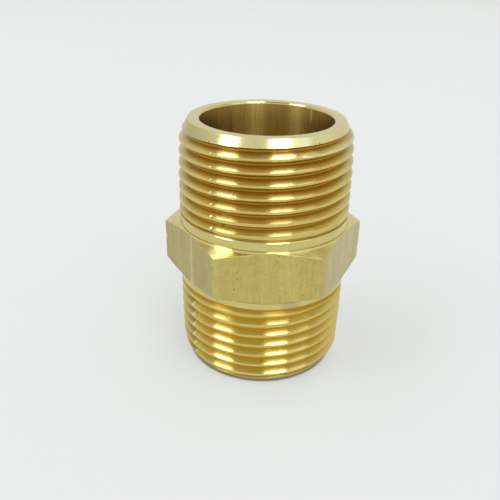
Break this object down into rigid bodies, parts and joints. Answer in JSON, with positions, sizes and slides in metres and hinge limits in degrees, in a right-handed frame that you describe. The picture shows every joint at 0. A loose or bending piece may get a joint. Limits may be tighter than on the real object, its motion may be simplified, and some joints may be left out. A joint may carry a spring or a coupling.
{
  "type": "hex nipple",
  "caption": "Brass hex nipple: a straight-through threaded pipe fitting with a wrench hexagon between two external taper threads.",
  "frame": {"origin": "centre of the lower end face, on the bore axis", "axes": "+Z along the bore from the lower end to the upper end, -Y out of one wrench flat, +X out of one hexagon corner"},
  "size_m": [0.0392, 0.034, 0.0493],
  "materials": {
    "brass": "bright turned thread, end faces and collars, drawn satin flats"
  },
  "bodies": {
    "root": {"nipple_body": "brass"}
  },
  "joints": []
}
